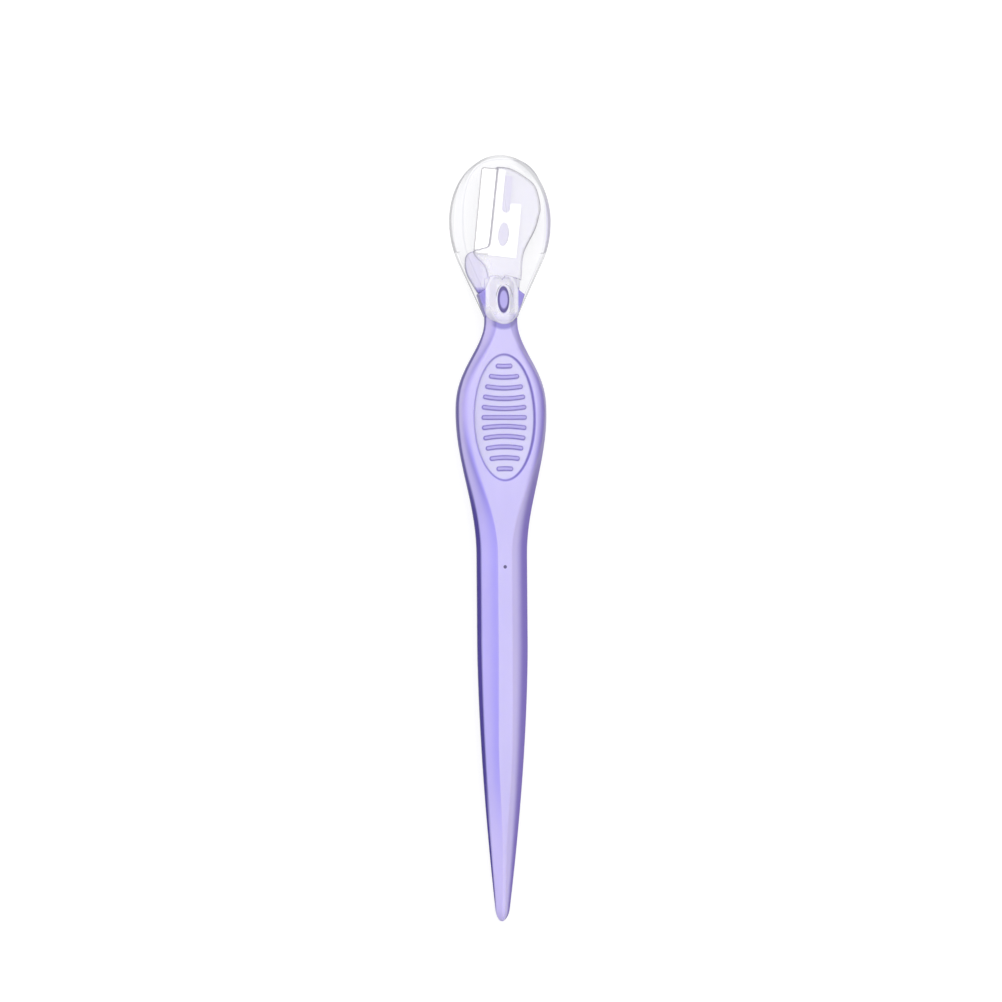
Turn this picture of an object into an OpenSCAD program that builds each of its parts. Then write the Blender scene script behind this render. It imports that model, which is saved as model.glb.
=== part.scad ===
// Eyebrow razor with a lavender handle, a slanted blade and a clear egg-shaped cap.
// It lies on its back: +X across, +Y from the tail to the cap, +Z up out of the ribbed front.

/* [Overall] */
// Length from the tail's tip to the top of the cap
overall_l = 150; // [140:1:170]
// Running gap between the cap and whatever it slides over
cap_gap = 0.15; // [0.1:0.05:0.25]

/* [Tail and shaft] */
// Width of the tail at its tip
tail_w = 2.3; // [1.5:0.1:4]
// Thickness of the tail at its tip
tail_t = 2.5; // [2:0.1:4]
// Length of the round tip of the tail
tip_l = 2.4; // [1.5:0.1:4]
// Length over which the tail widens to the shaft
taper_l = 55; // [40:1:60]
// Width of the shaft
shaft_w = 10; // [8:0.1:12]
// Thickness of the shaft
shaft_t = 6.4; // [5:0.1:7]
// Width of the flat along the front and the back of the shaft
shaft_flat = 2.7; // [1.5:0.1:4]
// Width of the round ejector mark on the front of the shaft
mark_d = 0.7; // [0.5:0.1:1.2]

/* [Grip] */
// Width of the grip at its widest
grip_w = 18; // [14:0.2:22]
// Thickness of the grip
grip_t = 7.2; // [6:0.1:7.8]
// Bevel along each side of the grip
grip_bevel = 1.2; // [0.8:0.1:2]
// Length over which the shaft swells to the grip
swell_l = 27.8; // [22:0.2:34]
// Length from the widest place of the grip up to the neck
grip_top_l = 17.9; // [16.5:0.1:22]
// Plain border between the thumb pad and the sides of the grip's flat face
pad_margin = 1.55; // [1:0.05:2.5]
// Length of the oval thumb pad
pad_l = 25; // [20:0.5:27]
// Depth of the thumb pad at its rim
pad_rim_d = 0.4; // [0.2:0.05:0.5]
// How much deeper the thumb pad is at its middle
pad_dish_d = 0.4; // [0.2:0.05:0.7]

/* [Ribs] */
// Distance from rib to rib
rib_pitch = 2; // [1.8:0.05:2.2]
// Width of one rib
rib_w = 1; // [0.7:0.05:1.2]
// Height of the ribs above the floor of the pad
rib_h = 0.4; // [0.2:0.05:0.5]
// Plain border between the ribs' ends and the rim of the pad
rib_border = 1.7; // [1.2:0.1:1.8]
// Bow of a long rib that lies far from the middle
rib_bow = 0.6; // [0.2:0.05:0.8]

/* [Neck and latch] */
// Width of the neck where the cap's tongues end
neck_w = 6.5; // [6:0.1:7.5]
// Thickness of the neck, which the cap slides over
neck_t = 5.4; // [4.6:0.1:6.2]
// Width of the flat along the front and the back of the neck
neck_flat = 2.5; // [2.4:0.1:3]
// Width of the shoulder that fills the open side of the cap
shoulder_w = 9.2; // [8:0.1:10]
// Width of the oval latch boss
boss_w = 2.1; // [1.6:0.1:2.3]
// Length of the oval latch boss
boss_l = 4.7; // [3.5:0.1:5]
// Height of the latch boss
boss_h = 0.3; // [0.15:0.05:0.3]

/* [Head] */
// Reach of the head plate from the middle line, on the side away from the blade
head_reach = 7.95; // [7:0.05:9]
// Length of the head below the blade
heel_l = 7.6; // [7:0.1:9]
// Reach of the heel lobe beyond the cutting edge
heel_guard = 1.45; // [1:0.05:1.8]
// Thickness of the head plate under the blade
plate_t = 1.4; // [1:0.1:1.5]
// Thickness of the retainer over the blade
retainer_t = 0.9; // [0.6:0.1:1]

/* [Blade] */
// Length of the blade along its cutting edge
blade_l = 17; // [15:0.1:17.2]
// Width of the blade from its cutting edge to its back
blade_w = 8.6; // [7.6:0.1:8.8]
// Thickness of the blade
blade_t = 0.3; // [0.2:0.05:0.3]
// Width of the exposed strip beside the retainer
strip_w = 2.9; // [2.4:0.1:3.2]
// Width of the ground bevel along the cutting edge
bevel_w = 0.55; // [0.3:0.05:0.8]
// Radius of the blade's corners at the cutting edge
blade_corner_r = 0.7; // [0.4:0.1:1]
// Lean of the blade towards the middle line, in degrees
blade_lean = 6; // [4:0.5:7]
// Width of the open slot at the top of the blade
slot_w = 1.6; // [1.2:0.1:1.8]
// Width of the oval hole below the slot
oval_w = 2.1; // [1.6:0.1:2.4]
// Length of the oval hole below the slot
oval_l = 4.7; // [3.6:0.1:4.8]

/* [Cap] */
// Length of the cap's tongues below the head
tongue_drop = 6.3; // [5.6:0.1:8]
// Wall of the cap
cap_wall = 0.8; // [0.6:0.05:1]
// Room between the head and the cap's wall at its widest
side_room = 1.15; // [1:0.05:2]
// Room between the latch boss and the cap's front wall
boss_gap = 0.2; // [0.15:0.05:0.4]
// Width of the bevel around the cap's front and back faces
cap_bevel = 1.7; // [1.2:0.1:2.4]
// Length from the cap's widest place to its top
dome_l = 12.9; // [12:0.1:14]
// Width of the cap's tongues near their ends
tongue_w = 5; // [4.6:0.1:5.6]
// Clear border of the window around the latch boss
window_gap = 0.6; // [0.4:0.05:0.8]

/* [Hidden] */
$fn = 64;

lavender = [0.78, 0.74, 0.97, 0.9];
pale_lavender = [0.88, 0.85, 0.98, 0.8];
steel = [0.9, 0.9, 0.88];
clear = [0.95, 0.95, 0.98, 0.35];

// How far a cutting shape runs past what it cuts
overrun = 1;
// Clearance between pieces that are seated in each other
seat_gap = 0.05;

// The head is a sandwich of plate, blade and retainer, and the cap goes round it
slab_t = plate_t + blade_t + retainer_t;
head_l = heel_l + blade_l;
cap_w = 2 * (head_reach + side_room + cap_wall);
cap_t = neck_t + 2 * (boss_h + boss_gap + cap_wall);
cap_flat = cap_w - 2 * cap_bevel;
cap_slot_h = slab_t + 2 * cap_gap;
grip_flat = grip_w - 2 * grip_bevel;
pad_w = grip_flat - 2 * pad_margin;

// Places along the razor, measured from the tail's tip
head_y = overall_l - cap_wall * 2.6 - cap_gap - head_l;
tongue_y = head_y - tongue_drop;
neck_y = tongue_y + neck_w * 0.12;
grip_y = neck_y - grip_top_l;
swell_y = grip_y - swell_l;
shoulder_y = neck_y + neck_w * 0.8;
belly_y = overall_l - dome_l;
boss_y = tongue_y + boss_l * 1.03;
pad_y = neck_y - pad_l * 0.755;

// The head lies in the middle of the cap's thickness
mid_z = cap_t / 2;
slab_z = mid_z - slab_t / 2;
blade_z = slab_z + plate_t;
retainer_z = blade_z + blade_t;

function clamp(u) = max(0, min(1, u));
function ease(u) = (1 - cos(180 * clamp(u))) / 2;
function mix(a, b, t) = a + (b - a) * t;
function reverse(list) = [for (i = [len(list) - 1:-1:0]) list[i]];

// Points on a smooth curve through the given points, with its ends kept
function spline(points, steps) = concat(
    [for (i = [0:len(points) - 2], j = [0:steps - 1])
        let (a = points[max(i - 1, 0)], b = points[i], c = points[i + 1],
             d = points[min(i + 2, len(points) - 1)], t = j / steps)
        ((2 * b) + (c - a) * t + (2 * a - 5 * b + 4 * c - d) * t * t
            + (3 * b - a - 3 * c + d) * t * t * t) / 2],
    [points[len(points) - 1]]);

// An oval whose sides are fuller than an ellipse's where power is under 1
module oval(width, length, power = 1) {
    steps = 48;
    function full(u) = sign(u) * pow(abs(u), power);
    polygon([for (i = [0:steps - 1])
        [width * full(cos(360 * i / steps)), length * full(sin(360 * i / steps))] / 2]);
}

// HANDLE

// How far the tail has widened, and how far the grip has swelled, at a place y
taper_power = 1.7;
fullness_power = 1.25;
function taper(y) = 1 - pow(1 - clamp(y / taper_l), taper_power);
function swell(y) = y < grip_y
    ? ease((y - swell_y) / swell_l)
    : 1 - ease(pow((y - grip_y) / grip_top_l, fullness_power));

// The tip is rounded off from a blunt start
tip_start_share = 0.3;
function tip(y) = sqrt(1 - pow(1 - clamp(y / tip_l), 2) * (1 - pow(tip_start_share, 2)));

// The flat narrows to a ridge along the tail
ridge_share = 0.2;
function stem_flat(y) = y < grip_y
    ? shaft_flat * mix(ridge_share, 1, ease((y / taper_l - 0.18) * 2))
    : neck_flat;

// The grip has its full thickness all along the pad, and then thins to the neck
pad_low_y = pad_y - pad_l / 2;
pad_top_y = pad_y + pad_l / 2;
thin_l = neck_y - pad_top_y;

function stem_w(y) = y < grip_y ? mix(tail_w, shaft_w, taper(y)) : neck_w;
function half_width(y) = mix(stem_w(y), grip_w, swell(y)) * tip(y) / 2;
function half_flat(y) = mix(stem_flat(y), grip_flat, swell(y)) * tip(y) / 2;
function thinning(y) = ease((y - pad_top_y + thin_l * 0.3) / (thin_l * 1.3));
function thickening(y) = ease((y - swell_y) / (pad_low_y - swell_y));
function thickness(y) = y < grip_y
    ? mix(mix(tail_t, shaft_t, taper(y)), grip_t, thickening(y)) * mix(1, tip(y), 0.6)
    : mix(grip_t, neck_t, thinning(y));
function middle(y) = y < grip_y ? thickness(y) / 2 : mix(grip_t / 2, mid_z, thinning(y));

// The tenon runs on from the neck into the cap and slopes down to the head
tenon_end_y = boss_y + boss_l * 1.02;
tenon_slope_l = boss_l * 0.45;
function tenon_t(y) = mix(neck_t, slab_t, ease((y - tenon_end_y + tenon_slope_l) / tenon_slope_l));

// One eight-sided section: a flat front and back, and a blunt edge along each side
edge_share = 0.08;
function section(y) =
    let (w = half_width(y), f = half_flat(y), t = thickness(y), z = middle(y), e = t * edge_share)
    ring(y, w, f, t / 2, z, e);
function tenon_section(y) =
    let (t = tenon_t(y))
    ring(y, neck_w / 2, neck_flat / 2, t / 2, mid_z, neck_t * edge_share);
function profile(w, f, h, e) =
    [[f, h], [w, e], [w, -e], [f, -h], [-f, -h], [-w, -e], [-w, e], [-f, h]];
function ring(y, w, f, h, z, e) = [for (p = profile(w, f, h, e)) [p[0], y, z + p[1]]];

module loft(rings) {
    n = len(rings[0]);
    last = len(rings) - 1;
    sides = [for (i = [0:last - 1], j = [0:n - 1], k = [0, 1])
        let (a = i * n + j, b = i * n + (j + 1) % n, c = b + n, d = a + n)
        k == 0 ? [a, c, b] : [a, d, c]];
    start = [for (j = [1:n - 2]) [0, j, j + 1]];
    end = [for (j = [1:n - 2]) [last * n, last * n + j + 1, last * n + j]];
    polyhedron([for (r = rings, p = r) p], concat(sides, start, end));
}

module handle_bar() {
    tip_rings = 5;
    rings = 56;
    tenon_rings = 5;
    loft(concat(
        [for (i = [0:tip_rings - 1]) section(tip_l * pow(i / tip_rings, 1.6))],
        [for (i = [0:rings]) section(mix(tip_l, neck_y, i / rings))],
        [tenon_section(tenon_end_y - tenon_slope_l)],
        [for (i = [1:tenon_rings])
            tenon_section(tenon_end_y - tenon_slope_l * (1 - i / tenon_rings))],
        [tenon_section(tenon_end_y + overrun)]));
}

// As many ribs as the pad has room for, an odd number
field_w = pad_w - 2 * rib_border;
field_l = pad_l - 2 * rib_border;
half_count = floor((field_l - rib_w) / 2 / rib_pitch);

// A curved bar with round ends, bowed towards the middle of the pad
module rib(place) {
    steps = 8;
    reach = max(field_w * sqrt(1 - pow(2 * place / field_l, 2)) - rib_w, rib_w) / 2;
    bow = -rib_bow * place / (abs(place) + rib_pitch) * pow(2 * reach / (field_w - rib_w), 2);
    line = [for (i = [0:steps]) let (u = 2 * i / steps - 1) [reach * u, place + bow * (1 - u * u)]];
    cap_points = [for (i = [1:5]) 30 * i];
    polygon(concat(
        [for (p = line) p + [0, rib_w / 2]],
        [for (a = cap_points) [reach + rib_w / 2 * sin(a), place + rib_w / 2 * cos(a)]],
        [for (p = reverse(line)) p - [0, rib_w / 2]],
        [for (a = cap_points) [-reach - rib_w / 2 * sin(a), place - rib_w / 2 * cos(a)]]));
}

// The dished hollow of a thumb pad, in which the face of the grip lies at z = 0
dish_r = (pow(pad_l / 2, 2) + pow(pad_dish_d, 2)) / (2 * pad_dish_d);
module dish(lift) {
    intersection() {
        translate([0, 0, -pad_rim_d - pad_dish_d - overrun])
            linear_extrude(pad_rim_d + pad_dish_d + 2 * overrun) oval(pad_w, pad_l);
        translate([-pad_w, 0, dish_r - pad_rim_d - pad_dish_d + lift])
            rotate([0, 90, 0]) cylinder(r = dish_r, h = 2 * pad_w, $fn = 360);
    }
}

module pad_cut() {
    difference() {
        dish(0);
        difference() {
            translate([0, 0, -pad_rim_d - pad_dish_d - overrun])
                linear_extrude(pad_rim_d + pad_dish_d + overrun)
                    for (i = [-half_count:half_count]) rib(i * rib_pitch);
            dish(rib_h);
        }
    }
}

// The blade hangs from its upper corner, and the heel lobe stands out below its cutting edge
edge_top_share = 0.462;
edge_top_x = -head_reach * edge_top_share;
heel_reach = blade_l * sin(blade_lean) - edge_top_x + heel_guard;

// A point of the blade, from its heel's corner at the edge, in the frame of the head
function on_blade(x, y) =
    [edge_top_x + x * cos(blade_lean) + (y - blade_l) * sin(blade_lean),
     head_l - x * sin(blade_lean) + (y - blade_l) * cos(blade_lean)];

// Outlines of the head, in the frame of its lower end at the shoulder
right_shares = [[-0.08, 1], [0.24, 0.988], [0.61, 0.925], [0.88, 0.845], [1, 0.69],
    [0.95, 0.59], [0.86, 0.5], [0.72, 0.415], [0.59, 0.33], [0.54, 0.25], [0.52, 0.17],
    [0.48, 0.03]];
heel_shares = [[-0.64, 0], [-0.8, 0.23], [-0.94, 0.45], [-1, 0.68], [-0.98, 0.92],
    [-0.88, 1.035], [-0.76, 1.07]];
ridge_shares = [[-0.4, 0.32], [-0.4, 0.45], [-0.47, 0.65], [-0.59, 0.79], [-0.74, 0.92],
    [-0.8, 1.035], [-0.76, 1.1]];
foot_shares = [[0.74, 0.48], [0.93, 0.59], [0.98, 0.8], [1, 1.2]];

function right_curve() = spline([for (p = right_shares) [p[0] * head_reach, p[1] * head_l]], 4);
function left_curve(shares) =
    spline([for (p = shares) [p[0] * heel_reach, p[1] * heel_l]], 4);
function foot_line() = [for (p = foot_shares) on_blade(p[0] * strip_w, p[1] * strip_w)];

module plate_outline() {
    polygon(concat(right_curve(), left_curve(heel_shares), foot_line()));
}

// The line that the retainer's lower edge and the step of the tenon share
step_y = tenon_end_y - head_y;
step_r = neck_w * 1.4;
notch_w = neck_w * 0.25;
notch_d = neck_w * 0.15;
module step_outline(gap) {
    difference() {
        translate([-head_reach - overrun, step_y - step_r])
            square([2 * (head_reach + overrun), head_l + step_r]);
        translate([0, step_y - step_r]) circle(r = step_r + gap, $fn = 128);
        translate([-head_reach - overrun, step_y - step_r - overrun])
            square([2 * (head_reach + overrun), step_r * 0.9 + overrun]);
    }
    polygon([[-notch_w / 2 + gap, step_y + notch_d], [-notch_w / 2 + gap, step_y - gap],
        [0, step_y - notch_d + gap], [notch_w / 2 - gap, step_y - gap],
        [notch_w / 2 - gap, step_y + notch_d]]);
}

module in_blade_frame() {
    translate([edge_top_x, head_y + head_l]) rotate(-blade_lean) translate([0, -blade_l])
        children();
}

slot_x = strip_w + blade_w * 0.32;
oval_y = oval_l * 0.93;
slot_y = oval_y + oval_l * 0.9;

module slots(gap) {
    translate([slot_x, oval_y]) oval(oval_w - gap, oval_l - gap);
    translate([slot_x, slot_y + slot_w / 2]) circle(d = slot_w - gap);
    translate([slot_x - (slot_w - gap) / 2, slot_y + slot_w / 2])
        square([slot_w - gap, blade_l * (gap > 0 ? 0.38 : 1)]);
}

// The round mark that the ejector pin leaves on the shaft
mark_y = swell_y - mark_d * 3.2;

module handle() {
    color(lavender) translate([0, -overall_l / 2, 0]) {
        difference() {
            union() {
                handle_bar();
                shoulder();
                translate([0, head_y, slab_z]) linear_extrude(plate_t) plate_outline();
                translate([0, boss_y, mid_z]) linear_extrude(neck_t / 2 + boss_h) oval(boss_w, boss_l);
            }
            translate([0, head_y, blade_z]) linear_extrude(neck_t) step_outline(0);
            translate([0, pad_y, grip_t]) pad_cut();
            translate([0, pad_y, 0]) mirror([0, 0, 1]) pad_cut();
            translate([0, mark_y, thickness(mark_y) - mark_d * 0.1])
                cylinder(d = mark_d, h = overrun, $fn = 24);
        }
        translate([0, 0, blade_z - seat_gap]) linear_extrude(blade_t + seat_gap)
            in_blade_frame() slots(2 * seat_gap);
    }
}

// The shoulder fills the open sides of the cap, just above its tongues
function shoulder_line() = [[neck_w / 2 - overrun, neck_y], [neck_w / 2, neck_y + neck_w * 0.15],
    [shoulder_w / 2, shoulder_y], [neck_w / 2, shoulder_y + neck_w * 0.16],
    [neck_w / 2 - overrun, tenon_end_y]];

module shoulder() {
    line = shoulder_line();
    translate([0, 0, slab_z]) linear_extrude(slab_t)
        polygon(concat(line, [for (p = reverse(line)) [-p[0], p[1]]]));
}

// BLADE

module blade_outline() {
    r = blade_corner_r;
    difference() {
        union() {
            translate([r, 0]) square([blade_w - r, blade_l]);
            translate([0, r]) square([r * 2, blade_l - 2 * r]);
            for (y = [r, blade_l - r]) translate([r, y]) circle(r = r);
        }
        slots(0);
        translate([slot_x, slot_y + slot_w * 1.2]) square([blade_w, blade_l]);
    }
}

module blade_section() {
    polygon([[0, 0], [bevel_w, -blade_t / 2], [blade_w, -blade_t / 2], [blade_w, blade_t / 2],
        [bevel_w, blade_t / 2]]);
}

module blade() {
    color(steel) translate([0, -overall_l / 2, blade_z + blade_t / 2]) in_blade_frame()
        intersection() {
            translate([0, 0, -blade_t]) linear_extrude(2 * blade_t) blade_outline();
            translate([0, blade_l, 0]) rotate([90, 0, 0]) linear_extrude(blade_l)
                blade_section();
        }
}

// RETAINER

module retainer_outline() {
    intersection() {
        polygon(concat(right_curve(), left_curve(ridge_shares), foot_line()));
        step_outline(seat_gap);
    }
}

module blade_retainer() {
    color(pale_lavender) translate([0, head_y - overall_l / 2, retainer_z])
        linear_extrude(retainer_t) retainer_outline();
}

// CAP

tongue_l = tongue_w * 0.64;
face_top_y = overall_l - cap_wall * 1.25;
slot_top_y = overall_l - dome_l * 1.47;

// An egg with a narrow end for the tongues, drawn in by inset all round
module egg(inset) {
    low_l = (belly_y - tongue_y) * 0.692;
    translate([0, belly_y]) intersection() {
        oval(cap_w - 2 * inset, 2 * (dome_l - inset));
        translate([-cap_w, 0]) square([2 * cap_w, dome_l]);
    }
    translate([0, belly_y]) intersection() {
        oval(cap_w - 2 * inset, 2 * (low_l - inset));
        translate([-cap_w, -low_l]) square([2 * cap_w, low_l]);
    }
    translate([0, tongue_y + tongue_l]) oval(tongue_w * 1.4 - 2 * inset, 2 * (tongue_l - inset));
}

module egg_face(inset) {
    fullness = 0.75;
    translate([0, belly_y])
        oval(cap_flat - 2 * inset, 2 * (face_top_y - belly_y - inset), fullness);
    translate([0, tongue_y + tongue_w / 2]) oval(tongue_w - 2 * inset, tongue_w - 2 * inset);
}

module cap_form(inset) {
    skin = cap_wall / 20;
    hull() {
        translate([0, 0, mid_z - cap_slot_h / 2]) linear_extrude(cap_slot_h) egg(inset);
        translate([0, 0, inset]) linear_extrude(skin) egg_face(inset);
        translate([0, 0, cap_t - inset - skin]) linear_extrude(skin) egg_face(inset);
    }
}

// The way that the neck takes through the mouth of the cap
module neck_way() {
    half = cap_t / 2 - cap_wall;
    translate([0, belly_y, mid_z]) rotate([90, 0, 0]) linear_extrude(belly_y - tongue_y + overrun)
        polygon(profile(neck_w / 2 + cap_gap, neck_flat / 2 + cap_gap, half,
            neck_t * edge_share));
}

module cap() {
    color(clear) translate([0, -overall_l / 2, 0]) difference() {
        cap_form(0);
        cap_form(cap_wall);
        neck_way();
        translate([-cap_w, tongue_y - overrun, mid_z - cap_slot_h / 2])
            cube([2 * cap_w, slot_top_y - tongue_y + overrun, cap_slot_h]);
        translate([0, boss_y, mid_z]) linear_extrude(cap_t)
            oval(boss_w + 2 * window_gap, boss_l + 2 * window_gap);
    }
}

handle();
blade();
blade_retainer();
cap();
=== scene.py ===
from contextlib import contextmanager
from math import atan2, copysign, cos, dist, hypot, pi, radians, sin, sqrt, tan

import bmesh
import bpy
from mathutils import Matrix, Vector


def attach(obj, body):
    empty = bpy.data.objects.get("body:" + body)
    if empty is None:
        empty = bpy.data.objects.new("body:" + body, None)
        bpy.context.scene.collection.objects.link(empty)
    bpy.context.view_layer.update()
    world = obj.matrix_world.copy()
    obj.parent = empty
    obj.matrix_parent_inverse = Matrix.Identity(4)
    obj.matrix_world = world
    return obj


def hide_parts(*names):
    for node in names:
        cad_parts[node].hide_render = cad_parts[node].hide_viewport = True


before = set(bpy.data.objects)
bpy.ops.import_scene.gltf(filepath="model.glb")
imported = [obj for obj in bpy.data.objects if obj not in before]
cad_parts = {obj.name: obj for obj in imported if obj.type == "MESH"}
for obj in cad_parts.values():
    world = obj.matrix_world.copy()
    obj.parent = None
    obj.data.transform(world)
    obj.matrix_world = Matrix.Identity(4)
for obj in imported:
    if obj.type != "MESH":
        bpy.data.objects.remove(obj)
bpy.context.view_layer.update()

mm = 0.001  # sizes below are in millimetres; s is the distance from the tail's tip

# the same sizes as the part's source
razor = {"length": 150.0, "seatGap": 0.05, "capGap": 0.15}
halfL = razor["length"] / 2


def clamp(u):
    return max(0.0, min(1.0, u))


def ease(u):
    return (1 - cos(pi * clamp(u))) / 2


def mix(a, b, t):
    return a + (b - a) * t


def smoothLine(points, steps):  # curve through the points, ends kept
    line = []
    for i in range(len(points) - 1):
        a, b = points[max(i - 1, 0)], points[i]
        c, d = points[i + 1], points[min(i + 2, len(points) - 1)]
        for j in range(steps):
            t = j / steps
            line.append([
                (2 * q + (r - p) * t + (2 * p - 5 * q + 4 * r - v) * t * t
                 + (3 * q - p - 3 * r + v) * t ** 3) / 2
                for p, q, r, v in zip(a, b, c, d)])
    return line + [list(points[-1])]


def bendPoints(start, here, end, steps):  # a rounded corner from start to end, drawn to here
    return [start.lerp(here, i / steps).lerp(here.lerp(end, i / steps), i / steps)
            for i in range(steps + 1)]


def turned(loop):  # the loop, anticlockwise
    area = sum(a[0] * b[1] - b[0] * a[1] for a, b in zip(loop, loop[1:] + loop[:1]))
    return loop if area > 0 else loop[::-1]


def evenLoop(loop, spacing):  # closed outline with points at an even distance
    closed = loop + loop[:1]
    lengths = [dist(a, b) for a, b in zip(closed, closed[1:])]
    total = sum(lengths)
    count = max(12, round(total / spacing))
    out, i, passed = [], 0, 0.0
    for k in range(count):
        want = total * k / count
        while passed + lengths[i] < want:
            passed += lengths[i]
            i += 1
        t = (want - passed) / max(lengths[i], 1e-9)
        out.append([mix(closed[i][0], closed[i + 1][0], t), mix(closed[i][1], closed[i + 1][1], t)])
    return out


def insetLoop(loop, depth):  # moves each point inwards, square to the outline
    n, out = len(loop), []
    for i in range(n):
        a, b, c = loop[i - 1], loop[i], loop[(i + 1) % n]
        dx, dy = c[0] - a[0], c[1] - a[1]
        size = hypot(dx, dy) or 1
        out.append([b[0] - dy / size * depth, b[1] + dx / size * depth])
    return out


def hullOf(points):
    points = sorted(set((round(x, 6), round(y, 6)) for x, y in points))

    def half(line):
        out = []
        for p in line:
            while len(out) > 1 and (
                (out[-1][0] - out[-2][0]) * (p[1] - out[-2][1])
                - (out[-1][1] - out[-2][1]) * (p[0] - out[-2][0])) <= 0:
                out.pop()
            out.append(p)
        return out

    low, high = half(points), half(points[::-1])
    return [list(p) for p in low[:-1] + high[:-1]]


def ovalLoop(x, y, width, length, power=1.0, steps=96):
    def full(u):
        return copysign(abs(u) ** power, u)

    return [[x + width / 2 * full(cos(2 * pi * i / steps)),
             y + length / 2 * full(sin(2 * pi * i / steps))] for i in range(steps)]


def newObject(name, data):
    thing = bpy.data.objects.new(name, data)
    bpy.context.scene.collection.objects.link(thing)
    return thing


@contextmanager
def opened(*meshes):  # the meshes as one bmesh, written back to the first
    shape = bmesh.new()
    for mesh in meshes:
        shape.from_mesh(mesh)
    yield shape
    shape.to_mesh(meshes[0])
    shape.free()


def cutWideFaces(shape):
    bmesh.ops.triangulate(shape, faces=[face for face in shape.faces if len(face.verts) > 4])


def solidFrom(name, verts, faces):  # a closed mesh object from points (x, s, z)
    mesh = bpy.data.meshes.new(name)
    mesh.from_pydata([(x * mm, (s - halfL) * mm, z * mm) for x, s, z in verts],
                     [], faces)
    with opened(mesh) as shape:
        bmesh.ops.recalc_face_normals(shape, faces=shape.faces)
        cutWideFaces(shape)
    return newObject(name, mesh)


def ringsSolid(name, rings):  # rings of equal length, closed at both ends
    n = len(rings[0])
    verts = [p for ring in rings for p in ring]
    faces = [[i * n + j, i * n + (j + 1) % n, (i + 1) * n + (j + 1) % n, (i + 1) * n + j]
             for i in range(len(rings) - 1) for j in range(n)]
    faces.append(list(range(n))[::-1])
    faces.append([(len(rings) - 1) * n + j for j in range(n)])
    return solidFrom(name, verts, faces)


def slab(name, outline, low, high, lowRound=0.0, highRound=0.0, spacing=0.2, steps=4, wide=1.0):
    loop = evenLoop(turned(outline), spacing) if spacing else turned(outline)
    rings = []

    def ring(depth, z):
        rings.append([(x, s, z) for x, s in (insetLoop(loop, depth) if depth else loop)])

    bends = [pi / 2 * i / steps for i in range(steps + 1)]
    if lowRound:
        for a in bends[:-1]:
            ring(lowRound * (1 - sin(a)), low + lowRound * (1 - cos(a)))
    ring(0, low + lowRound)
    ring(0, high - highRound)
    if highRound:
        for a in bends[1:]:
            ring(wide * highRound * (1 - cos(a)), high - highRound * (1 - sin(a)))
    return ringsSolid(name, rings)


def carved(base, steps):  # joins and cuts whole solids, and keeps one mesh
    for tool, action in steps:
        change = base.modifiers.new(action.lower(), "BOOLEAN")
        change.operation = action
        change.object = tool
        change.solver = "MANIFOLD"
    scene = bpy.context.evaluated_depsgraph_get()
    mesh = bpy.data.meshes.new_from_object(base.evaluated_get(scene))
    base.modifiers.clear()
    base.data = mesh
    for tool, action in steps:
        bpy.data.objects.remove(tool)
    return base


def joined(base, other):  # one mesh object from two
    with opened(base.data, other.data):
        bpy.data.objects.remove(other)
    return base


levelFace = {"least": 0.9995, "bend": 4}  # how upright its normal is, and the bend beside it


def keepFlats(mesh):  # marks the rims of level faces, so that bends beside them don't shade them
    bend = radians(levelFace["bend"])
    with opened(mesh) as shape:
        for edge in shape.edges:
            level = [abs(face.normal.z) > levelFace["least"] for face in edge.link_faces]
            if len(level) == 2 and level[0] != level[1] and edge.calc_face_angle() > bend:
                edge.smooth = False


def finished(piece, material, node, body, crease=32):
    mesh = piece.data
    with opened(mesh) as shape:
        cutWideFaces(shape)
    mesh.polygons.foreach_set("use_smooth", [True] * len(mesh.polygons))
    mesh.set_sharp_from_angle(angle=radians(crease))
    keepFlats(mesh)
    weighted = piece.modifiers.new("evenNormals", "WEIGHTED_NORMAL")
    weighted.keep_sharp = True
    mesh.materials.clear()
    mesh.materials.append(material)
    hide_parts(node)
    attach(piece, body)
    print(f"{piece.name}: {len(mesh.vertices)} points, {len(mesh.polygons)} faces")
    return piece


# node groups and materials

def fed(tree, node, values):  # links other nodes' outputs to the inputs, or sets plain values
    for name, value in values.items():
        socket = node.inputs[name]
        if isinstance(value, bpy.types.NodeSocket):
            tree.links.new(value, socket)
        elif socket.type == "RGBA":
            socket.default_value = (*value[:3], 1)
        else:
            socket.default_value = value
    return node


def place(tree, kind, values=None, **settings):
    node = tree.nodes.new(kind)
    for key, value in settings.items():
        setattr(node, key, value)
    return fed(tree, node, values or {})


def arranged(tree):  # puts each node in a column to the left of all that it feeds
    links = [(link.from_node.name, link.to_node.name) for link in tree.links]
    column = dict.fromkeys(tree.nodes.keys(), 0)
    while any(column[start] <= column[end] for start, end in links):
        for start, end in links:
            column[start] = max(column[start], column[end] + 1)
    filled = dict.fromkeys(column.values(), 0)
    for node in tree.nodes:
        at = column[node.name]
        node.location = (-220 * at, -260 * filled[at])
        filled[at] += 1
    return tree


def newGroup(name, inputs, outputs):  # an input given as a tuple is a colour
    group = bpy.data.node_groups.new(name, "ShaderNodeTree")
    for label, value in inputs.items():
        kind = "NodeSocketColor" if isinstance(value, tuple) else "NodeSocketFloat"
        socket = group.interface.new_socket(name=label, in_out="INPUT", socket_type=kind)
        socket.default_value = value
    for label in outputs:
        kind = "NodeSocketColor" if label == "Color" else "NodeSocketFloat"
        group.interface.new_socket(name=label, in_out="OUTPUT", socket_type=kind)
    return group, place(group, "NodeGroupInput").outputs, place(group, "NodeGroupOutput")


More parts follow.
